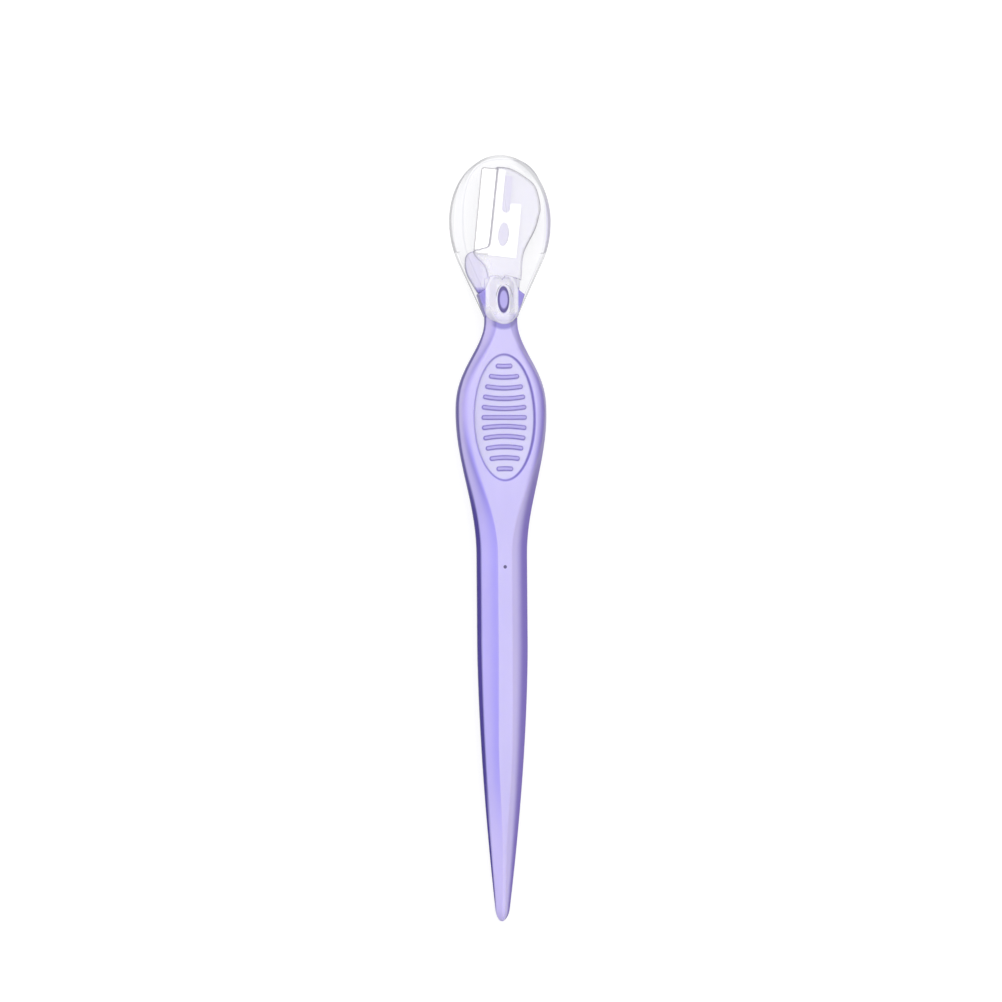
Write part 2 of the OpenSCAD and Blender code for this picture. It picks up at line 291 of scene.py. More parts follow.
def newMaterial(name, color):
    material = bpy.data.materials.new(name)
    material.use_nodes = True
    material.diffuse_color = (*color, 1)
    tree = material.node_tree
    tree.nodes.clear()
    shader = place(tree, "ShaderNodeBsdfPrincipled")
    place(tree, "ShaderNodeOutputMaterial", {"Surface": shader.outputs["BSDF"]}, name="end")
    return material, tree, shader


def calc(tree, action, *values):
    return place(tree, "ShaderNodeMath", dict(enumerate(values)), operation=action).outputs[0]


def vectorCalc(tree, action, *values):
    node = place(tree, "ShaderNodeVectorMath", dict(enumerate(values)), operation=action)
    return node.outputs["Value" if action in ("LENGTH", "DOT_PRODUCT") else "Vector"]


def coordinates(tree, kind):
    return place(tree, "ShaderNodeTexCoord").outputs[kind]


def product(tree, values):
    result = values[0]
    for value in values[1:]:
        result = calc(tree, "MULTIPLY", result, value)
    return result


def axes(tree, vector):
    return place(tree, "ShaderNodeSeparateXYZ", {0: vector}).outputs


def spread(tree, value, low, high, fromLow=0.0, fromHigh=1.0):
    return place(tree, "ShaderNodeMapRange", {
        "From Min": fromLow, "From Max": fromHigh, "To Min": low, "To Max": high,
        "Value": value}).outputs["Result"]


def blended(tree, factor, a, b, kind="RGBA"):
    node = place(tree, "ShaderNodeMix", data_type=kind)
    return fed(tree, node, {"Factor": factor, "A": a, "B": b}).outputs["Result"]


noiseRange = (0.3, 0.7)  # nearly all of a noise lies between these


def noiseAt(tree, where, scale, detail, stretch=None):
    if stretch:
        where = place(tree, "ShaderNodeMapping", {"Scale": stretch, "Vector": where}).outputs[0]
    return place(tree, "ShaderNodeTexNoise", {
        "Scale": scale, "Detail": detail, "Vector": where}).outputs["Fac"]


# moulded plastic: slow flow clouds in the colour, a satin skin and a very fine grain
skinDetail = {"flowScale": 140, "flowStretch": (1.0, 0.25, 1.0), "rubScale": 900,
              "rubStretch": (0.35, 1.0, 0.35), "leastRub": -0.3, "grainScale": 9000}


def makeMouldedSkin():
    group, start, end = newGroup("mouldedSkin", {
        "Color": (0.8, 0.8, 0.8, 1), "Clouding": 0.05, "Roughness": 0.2, "Wear": 0.1,
    }, ("Color", "Roughness", "Height"))
    where = coordinates(group, "Object")
    flow = noiseAt(group, where, skinDetail["flowScale"], 3, skinDetail["flowStretch"])
    rubs = noiseAt(group, where, skinDetail["rubScale"], 5, skinDetail["rubStretch"])
    rubbed = spread(group, rubs, skinDetail["leastRub"], 1, *noiseRange)
    shade = calc(group, "MULTIPLY", spread(group, flow, -1, 1, *noiseRange), start["Clouding"])
    tint = place(group, "ShaderNodeVectorMath", operation="SCALE")
    fed(group, tint, {0: start["Color"], "Scale": calc(group, "ADD", shade, 1)})
    fed(group, end, {
        "Color": tint.outputs[0],
        "Roughness": calc(group, "MULTIPLY_ADD", rubbed, start["Wear"], start["Roughness"]),
        "Height": noiseAt(group, where, skinDetail["grainScale"], 4)})
    return arranged(group)


# tint by how far a surface turns from the front or the back: pale flats, fuller bevels, deep sides
turnBounds = {"bevel": (0.8, 0.98), "side": (0.25, 0.75)}  # each tone fades out between these


def makeTurnTint():
    group, start, end = newGroup("turnTint", {
        "Flat": (0.8, 0.8, 0.8, 1), "Bevel": (0.5, 0.5, 0.5, 1), "Side": (0.2, 0.2, 0.2, 1),
    }, ("Color", "Edge", "Level"))
    level = calc(group, "ABSOLUTE", axes(group, coordinates(group, "Normal"))["Z"])
    bevel = spread(group, level, 1, 0, *turnBounds["bevel"])
    side = spread(group, level, 1, 0, *turnBounds["side"])
    tone = blended(group, bevel, start["Flat"], start["Bevel"])
    fed(group, end, {"Color": blended(group, side, tone, start["Side"]), "Edge": bevel,
                     "Level": level})
    return arranged(group)


mouldedSkin, turnTint = makeMouldedSkin(), makeTurnTint()


def ovalReach(tree, where, oval):  # 0 at the oval's middle and 1 on its outline, from the front
    middle = (0, (oval["s"] - halfL) * mm, 0)
    size = (2 / oval["width"] / mm, 2 / oval["length"] / mm, 0)
    away = vectorCalc(tree, "SUBTRACT", where, middle)
    return vectorCalc(tree, "LENGTH", vectorCalc(tree, "MULTIPLY", away, size))


# A region has a soft edge for each entry, from 0 at its first bound to 1 at its second.
# from and upTo run along s, left and right along x, beside goes by the distance from the
# middle line and above by z. inside and outside name an oval before their bounds.
def regionMask(tree, region):
    where = coordinates(tree, "Object")
    along = axes(tree, where)
    masks = []
    for edge, (*oval, low, high) in region.items():
        shift = halfL if edge in ("from", "upTo") else 0
        if oval:
            masks.append(spread(tree, ovalReach(tree, where, *oval), 0, 1, low, high))
            continue
        value = along["Y" if shift else "Z" if edge == "above" else "X"]
        if edge == "beside":
            value = calc(tree, "ABSOLUTE", value)
        masks.append(spread(tree, value, 0, 1, (low - shift) * mm, (high - shift) * mm))
    return product(tree, masks)


def anyRay(tree, *kinds):  # 1 for a ray of these kinds
    rays = place(tree, "ShaderNodeLightPath").outputs
    result = rays[f"Is {kinds[0]} Ray"]
    for kind in kinds[1:]:
        result = calc(tree, "MAXIMUM", result, rays[f"Is {kind} Ray"])
    return result


def seenShare(tree):  # 0 for the rays that bring light, so that clear walls cast no shade
    return spread(tree, anyRay(tree, "Shadow", "Diffuse"), 1, 0)


def addSkin(tree, shader, color, look):  # the moulded skin, with its grain as bump
    skin = place(tree, "ShaderNodeGroup", node_tree=mouldedSkin)
    fed(tree, skin, {"Color": color, "Clouding": look["clouding"],
                     "Roughness": look["roughness"], "Wear": look["wear"]})
    bump = place(tree, "ShaderNodeBump", {
        "Strength": look["grain"], "Distance": look["grainDepth"] * mm,
        "Height": skin.outputs["Height"]}).outputs["Normal"]
    fed(tree, shader, {"Base Color": skin.outputs["Color"],
                       "Roughness": skin.outputs["Roughness"], "Normal": bump,
                       "IOR": look["bend"]})
    return bump


def tintedPlastic(name, look, zones, marks=None):
    material, tree, shader = newMaterial(name, look["flat"])
    tones = {label: look[label] for label in ("flat", "bevel", "side")}
    for zone in zones.values():  # tones change from place to place
        mask = regionMask(tree, zone["where"])
        for label in tones:
            tone = zone.get(label, zone.get("all"))
            if tone:
                tones[label] = blended(tree, mask, tones[label], tone)
    for kind, tone in (marks or {}).items():  # and where the mesh says so
        mark = place(tree, "ShaderNodeAttribute", attribute_name=kind).outputs["Fac"]
        for label in tones:
            tones[label] = blended(tree, mark, tones[label], tone)
    turn = place(tree, "ShaderNodeGroup", node_tree=turnTint)
    fed(tree, turn, {label.title(): tone for label, tone in tones.items()})
    addSkin(tree, shader, turn.outputs["Color"], look)
    fed(tree, shader, {"Specular IOR Level": look["shine"]})
    if look["milk"]:
        fed(tree, shader, {"Subsurface Weight": look["milk"],
                           "Subsurface Radius": look["milkReach"],
                           "Subsurface Scale": look["milkDepth"] * mm})
    if look["alpha"] < 1:
        solid = spread(tree, turn.outputs["Edge"], look["alpha"], look["edgeAlpha"])
        fed(tree, shader, {"Alpha": product(tree, [solid, seenShare(tree)])})
    arranged(tree)
    return material


def clearPlastic(name, look):
    material, tree, shader = newMaterial(name, look["clear"])
    grain = addSkin(tree, shader, look["milk"], look)
    turn = place(tree, "ShaderNodeGroup", node_tree=turnTint).outputs
    ramp = place(tree, "ShaderNodeValToRGB", {"Fac": turn["Level"]})  # tint of each wall by slope
    while len(ramp.color_ramp.elements) < len(look["slopes"]):
        ramp.color_ramp.elements.new(0.5)
    for element, (level, tone) in zip(ramp.color_ramp.elements, look["slopes"]):
        element.position = level
        element.color = (*tone, 1)

    # which way a wall faces: a normal comes turned round where the wall is seen from behind
    where = place(tree, "ShaderNodeTexCoord").outputs
    facing = axes(tree, where["Normal"])
    behind = place(tree, "ShaderNodeNewGeometry").outputs["Backfacing"]
    near = spread(tree, behind, 1, 0)
    fromMiddle = vectorCalc(tree, "SUBTRACT", where["Object"], [v * mm for v in look["middle"]])
    outwards = vectorCalc(tree, "DOT_PRODUCT", fromMiddle, where["Normal"])
    outer = spread(tree, product(tree, [outwards, spread(tree, behind, 1, -1)]), 0, 1, -mm, mm)
    notSlotEnd = spread(tree, facing["Y"], 0, 1, *look["slotEnd"])

    # colour of the light that passes: lines along steep walls, a painted lavender lens on the right
    # wall that stands for the violet handle refracted in it, and a rim
    steep = spread(tree, turn["Level"], 1, near, *look["steep"])
    walls = blended(tree, product(tree, [outer, notSlotEnd, steep]), look["clear"],
                    ramp.outputs["Color"])
    paintedLensMask = product(tree, [outer, spread(tree, facing["X"], 0, 1, *look["lensTurn"]),
                               regionMask(tree, look["lensWhere"])])
    tint = blended(tree, paintedLensMask, walls, look["lens"])
    rim = place(tree, "ShaderNodeLayerWeight").outputs["Facing"]
    edgeShare = product(tree, [calc(tree, "POWER", rim, look["rimPower"]), outer, notSlotEnd,
                               spread(tree, paintedLensMask, 1, look["lensRim"])])
    through = place(tree, "ShaderNodeBsdfTransparent", {
        "Color": blended(tree, edgeShare, tint, look["rim"])}).outputs["BSDF"]

    # share of the surface itself: its gloss, and a milky veil on the ends of the tongues
    gloss = place(tree, "ShaderNodeFresnel", {"IOR": look["bend"], "Normal": grain})
    shine = product(tree, [gloss.outputs["Fac"], near, outer])
    milky = product(tree, [outer, spread(tree, turn["Edge"], look["veil"], look["edgeVeil"]),
                           regionMask(tree, look["milkWhere"])])
    solid = product(tree, [calc(tree, "MAXIMUM", shine, milky), seenShare(tree)])
    both = place(tree, "ShaderNodeMixShader", {0: solid, 1: through, 2: shader.outputs["BSDF"]})
    fed(tree, tree.nodes["end"], {"Surface": both.outputs[0]})
    arranged(tree)
    return material


print("node groups made")

# sizes of the pieces, as in the part's source

tail = {"width": 2.3, "thick": 2.5, "tip": 2.4, "tipStart": 0.3, "tipThin": 0.6, "taper": 55.0,
        "bow": 1.7}
shaft = {"width": 10.0, "thick": 6.4, "flat": 2.7, "ridge": 0.2, "opens": 0.18, "opening": 0.5,
         "corner": 0.45, "mark": 0.7, "markDepth": 0.08, "markWall": 0.18, "markLip": 0.2}
grip = {"width": 18.0, "thick": 7.2, "bevel": 1.2, "swell": 27.8, "top": 17.9, "fall": 1.25,
        "thinning": 0.3, "corner": 1.9}
pad = {"margin": 1.55, "length": 25.0, "rim": 0.4, "dish": 0.4, "wall": 0.65, "lip": 0.05}
rib = {"pitch": 2.0, "width": 1.0, "height": 0.4, "border": 1.7, "bow": 0.6, "round": 0.36,
       "lip": 0.04}
neck = {"width": 6.5, "thick": 5.4, "flat": 2.5, "side": 0.08, "shoulder": 9.2, "round": 0.15}
boss = {"width": 2.1, "length": 4.7, "height": 0.3, "round": 0.28, "roundWide": 1.4}
head = {"reach": 7.95, "heel": 7.6, "guard": 1.45, "plate": 1.4, "plateRound": (0.25, 0.35),
        "edgeTop": 0.462, "arc": 1.4, "arcStart": 0.9, "notchWidth": 0.25, "notchDepth": 0.15}
retainer = {"thick": 0.9, "round": (0.06, 0.5)}
blade = {"length": 17.0, "width": 8.6, "thick": 0.3, "strip": 2.9, "lean": 6.0, "corner": 0.7,
         "ground": 0.55, "slot": 1.6, "ovalWidth": 2.1, "ovalLength": 4.7, "holes": 0.32,
         "ovalAt": 0.93, "slotAt": 0.9, "postShare": 0.38, "cutAway": 1.2}
cap = {"drop": 6.3, "wall": 0.8, "side": 1.15, "bossGap": 0.2, "bevel": 1.7, "dome": 12.9,
       "tongue": 5.0, "window": 0.6, "faceRound": 0.7, "bandRound": 0.5, "innerRound": 0.8,
       "lowBelly": 0.692, "bandTongue": (1.4, 0.64), "faceTop": 1.25, "facePower": 0.75,
       "sidesTop": 1.47}

slabT = head["plate"] + blade["thick"] + retainer["thick"]
headL = head["heel"] + blade["length"]
capW = 2 * (head["reach"] + cap["side"] + cap["wall"])
capT = neck["thick"] + 2 * (boss["height"] + cap["bossGap"] + cap["wall"])
slotH = slabT + 2 * razor["capGap"]
headS = razor["length"] - cap["wall"] * 2.6 - razor["capGap"] - headL
tongueS = headS - cap["drop"]
neckS = tongueS + neck["width"] * 0.12
gripS = neckS - grip["top"]
swellS = gripS - grip["swell"]
shoulderS = neckS + neck["width"] * 0.8
bellyS = razor["length"] - cap["dome"]
bossS = tongueS + boss["length"] * 1.03
padS = neckS - pad["length"] * 0.755
padLow, padTop = padS - pad["length"] / 2, padS + pad["length"] / 2
thinL = neckS - padTop
midZ = capT / 2
slabZ = midZ - slabT / 2
bladeZ = slabZ + head["plate"]
retainerZ = bladeZ + blade["thick"]
tenonEnd = bossS + boss["length"] * 1.02
tenonSlope = boss["length"] * 0.45
gripFlat = grip["width"] - 2 * grip["bevel"]
padW = gripFlat - 2 * pad["margin"]
markS = swellS - shaft["mark"] * 3.2
lean = radians(blade["lean"])
edgeTopX = -head["reach"] * head["edgeTop"]
heelReach = blade["length"] * sin(lean) - edgeTopX + head["guard"]
holesX = blade["strip"] + blade["width"] * blade["holes"]
ovalY = blade["ovalLength"] * blade["ovalAt"]
slotY = ovalY + blade["ovalLength"] * blade["slotAt"]

# handle: tail, shaft, grip, neck and tenon in one loft, with the thumb pads as relief


def taperAt(s):
    return 1 - (1 - clamp(s / tail["taper"])) ** tail["bow"]


def swellAt(s):
    if s < gripS:
        return ease((s - swellS) / grip["swell"])
    return 1 - ease(((s - gripS) / grip["top"]) ** grip["fall"])


def tipAt(s):
    return sqrt(1 - (1 - clamp(s / tail["tip"])) ** 2 * (1 - tail["tipStart"] ** 2))


def halfWidth(s):
    stem = mix(tail["width"], shaft["width"], taperAt(s)) if s < gripS else neck["width"]
    return mix(stem, grip["width"], swellAt(s)) * tipAt(s) / 2


def halfFlat(s):
    opened = ease((s / tail["taper"] - shaft["opens"]) / shaft["opening"])
    stem = shaft["flat"] * mix(shaft["ridge"], 1, opened) if s < gripS else neck["flat"]
    return mix(stem, gripFlat, swellAt(s)) * tipAt(s) / 2


def thinned(s):  # 0 on the grip and 1 at the neck's end
    early = thinL * grip["thinning"]
    return ease((s - padTop + early) / (thinL + early))


def thickness(s):
    if s > gripS:
        return mix(grip["thick"], neck["thick"], thinned(s))
    stem = mix(tail["thick"], shaft["thick"], taperAt(s))
    full = mix(stem, grip["thick"], ease((s - swellS) / (padLow - swellS)))
    return full * mix(1, tipAt(s), tail["tipThin"])


def middle(s):
    return thickness(s) / 2 if s < gripS else mix(grip["thick"] / 2, midZ, thinned(s))


def eightCorners(w, f, h, e):  # half widths of the section and its flats, half heights likewise
    return [(f, h), (w, e), (w, -e), (f, -h), (-f, -h), (-w, -e), (-w, e), (-f, h)]


barPoints = {"flat": 112, "bevel": 10, "side": 3, "bend": 4}  # steps along each part
mostBend = 0.42  # the share of a side that a corner may take


def barSection(w, f, h, e, corner):  # the eight sides, with softened corners
    corners = [Vector(here) for here in eightCorners(w, f, h, e)]
    arcs = []
    for i, here in enumerate(corners):
        a, b = corners[i - 1] - here, corners[(i + 1) % 8] - here
        size = corner * tan((pi - a.angle(b)) / 2)
        size = min(size, mostBend * a.length, mostBend * b.length)
        arcs.append(bendPoints(here + a.normalized() * size, here, here + b.normalized() * size,
                               barPoints["bend"]))
    points = []
    for i, arc in enumerate(arcs):
        part = ("bevel", "side", "bevel", "flat")[i % 4]
        face = {3: "back", 7: "front"}.get(i, "")
        points += [(*p, "") for p in arc[:-1]] + [(*arc[-1], face)]
        steps, following = barPoints[part], arcs[(i + 1) % 8][0]
        points += [(*arc[-1].lerp(following, k / steps), face) for k in range(1, steps)]
    return points


def ribHeight(x, y):
    fieldW, fieldL = padW - 2 * rib["border"], pad["length"] - 2 * rib["border"]
    most = int((fieldL - rib["width"]) / 2 / rib["pitch"])
    best = 0.0
    nearest = round(y / rib["pitch"])
    for i in range(max(-most, nearest - 1), min(most, nearest + 1) + 1):
        spot = i * rib["pitch"]
        reach = max(fieldW * sqrt(max(0, 1 - (2 * spot / fieldL) ** 2)) - rib["width"],
                    rib["width"]) / 2
        u = max(-1.0, min(1.0, x / reach))
        bow = rib["bow"] * spot / (abs(spot) + rib["pitch"])
        bow *= (2 * reach / (fieldW - rib["width"])) ** 2
        away = hypot(max(0.0, abs(x) - reach), y - spot + bow * (1 - u * u))
        best = max(best, ease((rib["width"] / 2 + rib["lip"] - away) / rib["round"]))
    return best * rib["height"]


def floorDepth(y):
    return pad["rim"] + pad["dish"] * (1 - (2 * y / pad["length"]) ** 2)


def padDepth(x, y):
    a, b = padW / 2, pad["length"] / 2
    q = hypot(x / a, y / b)
    inside = (1 - q) * q / hypot(x / a ** 2, y / b ** 2) if q > 1e-6 else a
    wall = ease((inside + pad["lip"]) / pad["wall"])
    return wall * (floorDepth(y) - ribHeight(x, y)) if wall > 0 else 0.0


def markDepth(x, y):
    inside = shaft["mark"] / 2 - hypot(x, y)
    return shaft["markDepth"] * ease(inside / shaft["markWall"] + shaft["markLip"])


def barRing(s):
    t, z0 = thickness(s), middle(s)
    corner = mix(shaft["corner"], grip["corner"], swellAt(s))
    ring = []
    for x, z, face in barSection(halfWidth(s), halfFlat(s), t / 2, t * neck["side"], corner):
        if face and padLow - 0.3 < s < padTop + 0.3:
            z += (-1 if face == "front" else 1) * padDepth(x, s - padS)
        if face == "front" and abs(s - markS) < shaft["mark"]:
            z -= markDepth(x, s - markS)
        ring.append((x, s, z0 + z))
    return ring


def tenonRing(s):
    t = mix(neck["thick"], slabT, ease((s - tenonEnd + tenonSlope) / tenonSlope))
    return [(x, s, midZ + z) for x, z, face in barSection(
        neck["width"] / 2, neck["flat"] / 2, t / 2, neck["thick"] * neck["side"], shaft["corner"])]


def between(a, b, step):
    n = max(1, round((b - a) / step))
    return [mix(a, b, i / n) for i in range(n)]


hair = 0.02  # solids run this far into each other, or stay this far apart
# between the loft's rings, and how far the fine ones reach past the mark and the pad
ringGaps = {"shaft": 1.0, "mark": 0.1, "grip": 0.8, "pad": 0.125, "neck": 0.45, "tenon": 0.8,
            "slope": 0.18, "aroundMark": 0.6, "aroundPad": 0.4}


def makeHandle():
    tips = 12
    places = [tail["tip"] * (i / tips) ** 1.8 for i in range(tips)]
    start = tail["tip"]
    near, beside = ringGaps["aroundMark"], ringGaps["aroundPad"]
    for end, part in ((markS - near, "shaft"), (markS + near, "mark"), (padLow - beside, "grip"),
                      (padTop + beside, "pad"), (neckS, "neck")):
        places += between(start, end, ringGaps[part])
        start = end
    bar = ringsSolid("bar", [barRing(s) for s in places + [neckS]])
    slopeS, end = tenonEnd - tenonSlope, tenonEnd + hair
    places = between(neckS, slopeS, ringGaps["tenon"]) + between(slopeS, end, ringGaps["slope"])
    tenon = ringsSolid("handleMoulding", [tenonRing(s) for s in places + [end]])
    half, rise = neck["width"] / 2, neck["width"] * 0.15
    right = [[half - 1, neckS], [half, neckS + rise], [neck["shoulder"] / 2, shoulderS],
             [half, shoulderS + neck["width"] * 0.16], [half - 1, tenonEnd]]
    shoulder = slab("shoulder", right + [[-x, s] for x, s in right[::-1]],
                    slabZ, slabZ + slabT, neck["round"], neck["round"])
    plate = slab("plate", headOutline(heelShares), slabZ, bladeZ, *head["plateRound"])
    pocket = slab("pocket", stepOutline(0), bladeZ + hair / 2, bladeZ + neck["thick"], spacing=0)
    latch = slab("latch", ovalLoop(0, bossS, boss["width"], boss["length"]), midZ,
                 midZ + neck["thick"] / 2 + boss["height"], 0, boss["round"], 0.12, 5,
                 boss["roundWide"])
    posts = [(slab("post", loop, bladeZ - blade["thick"], retainerZ - hair, spacing=0), "UNION")
             for loop in bladeHoles(2 * razor["seatGap"])]
    return joined(carved(tenon, [(shoulder, "UNION"), (plate, "UNION"), (latch, "UNION"),
                                 (pocket, "DIFFERENCE"), *posts]), bar)


# head: outlines of the plate and the retainer, worked out from the blade's place

def onBlade(x, y):  # x from the cutting edge and y from its lower end
    return [edgeTopX + x * cos(lean) + (y - blade["length"]) * sin(lean),
            headS + headL - x * sin(lean) + (y - blade["length"]) * cos(lean)]


rightShares = [(-0.08, 1), (0.24, 0.988), (0.61, 0.925), (0.88, 0.845), (1, 0.69), (0.95, 0.59),
               (0.86, 0.5), (0.72, 0.415), (0.59, 0.33), (0.54, 0.25), (0.52, 0.17), (0.48, 0.03)]
heelShares = [(-0.64, 0), (-0.8, 0.23), (-0.94, 0.45), (-1, 0.68), (-0.98, 0.92), (-0.88, 1.035),
              (-0.76, 1.07)]
ridgeShares = [(-0.4, 0.32), (-0.4, 0.45), (-0.47, 0.65), (-0.59, 0.79), (-0.74, 0.92),
               (-0.8, 1.035), (-0.76, 1.1)]
footShares = [(0.74, 0.48), (0.93, 0.59), (0.98, 0.8), (1, 1.2)]


def headOutline(leftShares):
    right = smoothLine([(x * head["reach"], headS + y * headL) for x, y in rightShares], 6)
    left = smoothLine([(x * heelReach, headS + y * head["heel"]) for x, y in leftShares], 6)
    foot = [onBlade(x * blade["strip"], y * blade["strip"]) for x, y in footShares]
    return right + left + foot


def stepOutline(gap):  # everything past the arc at the tenon's end, with the small pointed notch
    outer, wide, steps = neck["width"] * head["arc"], head["reach"] + 1, 60
    r, centre = outer + gap, tenonEnd - outer
    low = centre + outer * head["arcStart"]
    side = sqrt(r * r - (low - centre) ** 2)
    start, end = atan2(low - centre, -side), atan2(low - centre, side)
    angles = [mix(start, end, i / steps) for i in range(steps + 1)]
    arc = [(r * cos(a), centre + r * sin(a)) for a in angles]
    half = neck["width"] * head["notchWidth"] / 2 - gap
    edge = centre + sqrt(r * r - half * half)
    notch = [(-half, edge), (0, tenonEnd - neck["width"] * head["notchDepth"] + gap), (half, edge)]
    line = [p for p in arc if p[0] < -half] + notch + [p for p in arc if p[0] > half]
    top = centre + r + headL
    return [[-wide, low], *[list(p) for p in line], [wide, low], [wide, top], [-wide, top]]


def bladeHoles(gap):  # the oval hole and the open slot, or with a gap the posts in them
    hole = [onBlade(holesX + p[0], ovalY + p[1]) for p in ovalLoop(
        0, 0, blade["ovalWidth"] - gap, blade["ovalLength"] - gap, steps=48)]
    r, foot, steps = (blade["slot"] - gap) / 2, slotY + blade["slot"] / 2, 16
    slot = [onBlade(holesX + r * cos(a), foot + r * sin(a))
            for a in [pi + pi * i / steps for i in range(steps + 1)]]
    top = foot + blade["length"] * (blade["postShare"] if gap else 1)
    return [hole, slot + [onBlade(holesX + r, top), onBlade(holesX - r, top)]]


# where the colours change on the handle: deeper tones stand for more plastic behind a surface, the
# shoulders and the ejector mark are drawn deep violet, and some zones are painted light and shade,
# as said below
tongueEnd = {"s": tongueS + cap["tongue"] / 2, "width": cap["tongue"], "length": cap["tongue"]}
latchOval = {"s": bossS, **boss}
ejectorMark = {"s": markS, "width": shaft["mark"], "length": shaft["mark"]}
handleLook = {
    "flat": (0.63, 0.58, 0.98), "bevel": (0.43, 0.38, 0.99), "side": (0.22, 0.18, 0.62),
    "clouding": 0.03, "roughness": 0.28, "wear": 0.02, "grain": 0.1, "grainDepth": 0.002,
    "milk": 0.3, "milkDepth": 1.2, "milkReach": (1.0, 0.9, 1.6), "alpha": 1.0, "shine": 0.25,
    "bend": 1.5,
}
handleZones = {
    "grip": {"flat": (0.62, 0.57, 0.98), "bevel": (0.56, 0.49, 0.99), "side": (0.55, 0.48, 0.99),
             "where": {"from": (92, 99)}},
    "neck": {"flat": (0.65, 0.6, 0.96), "bevel": (0.56, 0.5, 0.98), "side": (0.36, 0.31, 0.8),
             "where": {"from": (102, 108)}},
    # painted reflection: the tenon is paler where the cap's tongue covers it, and stays so when the
    # cap is off
    "tenon": {"flat": (0.88, 0.86, 0.98), "bevel": (0.9, 0.88, 0.99), "side": (0.7, 0.67, 0.88),
              "where": {"from": (117.5, 119.5)}},
    "head": {"flat": (0.86, 0.84, 0.99), "bevel": (0.5, 0.48, 0.6), "side": (0.48, 0.46, 0.58),
             "where": {"from": (125.6, 126.4)}},
    "heel": {"flat": (0.78, 0.75, 0.93), "bevel": (0.66, 0.64, 0.82), "side": (0.46, 0.44, 0.6),
             "where": {"left": (-3.2, -4.2), "from": (123.4, 124.0), "upTo": (136, 133)}},
    "posts": {"flat": (0.74, 0.7, 0.96), "bevel": (0.7, 0.66, 0.94), "side": (0.6, 0.56, 0.85),
              "where": {"above": (4.14, 4.18), "from": (127.5, 127.8)}},
    "shoulder": {"all": (0.34, 0.29, 0.75), "side": (0.2, 0.16, 0.5),
                 "where": {"beside": (3.1, 3.4), "from": (116, 117), "upTo": (124.4, 123.6)}},
    "latch": {"flat": (0.48, 0.43, 0.83), "bevel": (0.3, 0.26, 0.6), "side": (0.17, 0.14, 0.36),
              "where": {"above": (6.71, 6.73), "from": (118, 118.5)}},
    # painted shade: a dark ring round the latch, where the edge of the cap's window shades it
    "paintedLatchShade": {"all": (0.17, 0.14, 0.38),
                 "where": {"above": (6.4, 6.6), "outside": (latchOval, 0.66, 0.82),
                           "inside": (latchOval, 1.18, 1.06)}},
    # painted shadow of the cap tongue's end: a dark band on the neck below it
    "paintedTongueShadow": {"all": (0.32, 0.28, 0.68), "side": (0.1, 0.07, 0.35),
              "where": {"outside": (tongueEnd, 0.88, 1.0), "inside": (tongueEnd, 1.48, 1.28),
                        "upTo": (119.4, 118.4)}},
    "ejector": {"all": (0.14, 0.12, 0.27),
                "where": {"inside": (ejectorMark, 1.1, 0.85), "above": (4, 5)}},
}
# marks from the mesh: the pad's floor and the ribs' tops are tones of the plastic; wall is painted
# shade in the walls of ribs and pad rims, pale is painted light on the facets, and the last two are
# a painted shade line along the left edge and painted shade towards the right edge
handleMarks = {"recess": (0.7, 0.67, 0.94), "ribTop": (0.48, 0.43, 0.83),
               "wall": (0.23, 0.19, 0.55), "pale": (0.66, 0.59, 1.0), "paintedLeftShadeLine": (0.05, 0.03, 0.27),
               "paintedRightShade": (0.24, 0.18, 0.58)}
handlePlastic = tintedPlastic("lavenderPlastic", handleLook, handleZones, handleMarks)
handlePiece = finished(makeHandle(), handlePlastic, "handle", "razor")

# how wide and how strong the handle's painted light and shade marks are: the pad rim's painted
# shade left and right, the right edge's painted shade pairs on grip and neck, the others on grip
# and stem
markTone = {"floorFade": 0.08, "padRim": (0.35, 1.2), "facet": (0.9, 0.45), "tailFacet": 0.8,
            "line": (0.42, 0.85), "lineFade": (0.2, 0.3), "lineShare": 0.85,
            "right": (2.9, 2.0), "rightFade": 2.1, "rightShare": (0.95, 0.6)}
markRange = {"stem": (74, 94), "slimTail": (34, 10), "tip": 5, "narrow": 11, "narrowing": 8}


def padMarks(x, s, z):  # how far a point lies on a pad's floor and on a rib's top, and how much painted shade falls in a wall
    y = s - padS
    q = hypot(2 * x / padW, 2 * y / pad["length"])
    betweenPads = abs(z - grip["thick"] / 2) < grip["thick"] / 2 - 1.2
    if betweenPads or q > 1.1:
        return 0.0, 0.0, 0.0
    raised = ribHeight(x, y) / rib["height"]
    depth = padDepth(x, y) / (floorDepth(y) - raised * rib["height"]) if q < 1 else 0.0
    # painted shade in the pad's rim, stronger on the right, and in the ribs' walls
    rim = 4 * depth * (1 - depth) * mix(*markTone["padRim"], ease(0.5 + x / padW))
    wall = max(4 * raised * (1 - raised), rim)
    return ease((1 - q) / markTone["floorFade"]) * (1 - raised), raised, min(1.0, wall)


